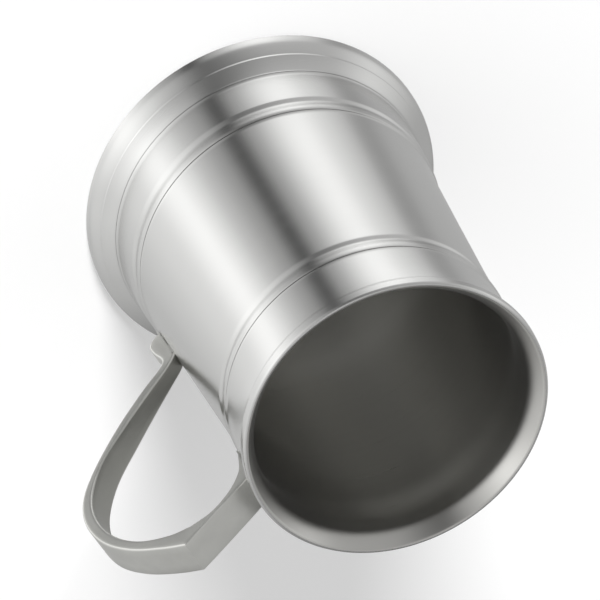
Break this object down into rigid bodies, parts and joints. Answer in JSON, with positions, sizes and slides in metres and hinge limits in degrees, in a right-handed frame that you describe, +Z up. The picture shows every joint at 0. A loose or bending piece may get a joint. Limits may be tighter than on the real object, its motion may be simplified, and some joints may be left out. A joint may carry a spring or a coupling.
{
  "type": "tankard",
  "caption": "Pewter drinking tankard with a spun, gently tapering drum, two raised beads, a flared foot and lip, and a cast strap handle with a thumb ridge.",
  "frame": {"origin": "on the drum's axis, in the plane that the foot stands on", "axes": "+Z up the drum's axis to the mouth, +X towards the handle, which lies in the X-Z plane"},
  "size_m": [0.1406, 0.1048, 0.122],
  "materials": {
    "spun_pewter": "pewter, spun and fine-brushed round the drum, satin",
    "turned_pewter": "pewter, turned, satin",
    "base_pewter": "pewter, matt inside and turned underneath",
    "cast_pewter": "cast pewter, fine blasted matt",
    "solder": "tin solder, cleaned back"
  },
  "bodies": {
    "root": {"drum": "spun_pewter", "foot_ring": "turned_pewter", "base_disc": "base_pewter", "handle": "cast_pewter", "floor_solder": "solder", "upper_solder": "solder", "lower_solder": "solder"}
  },
  "joints": []
}
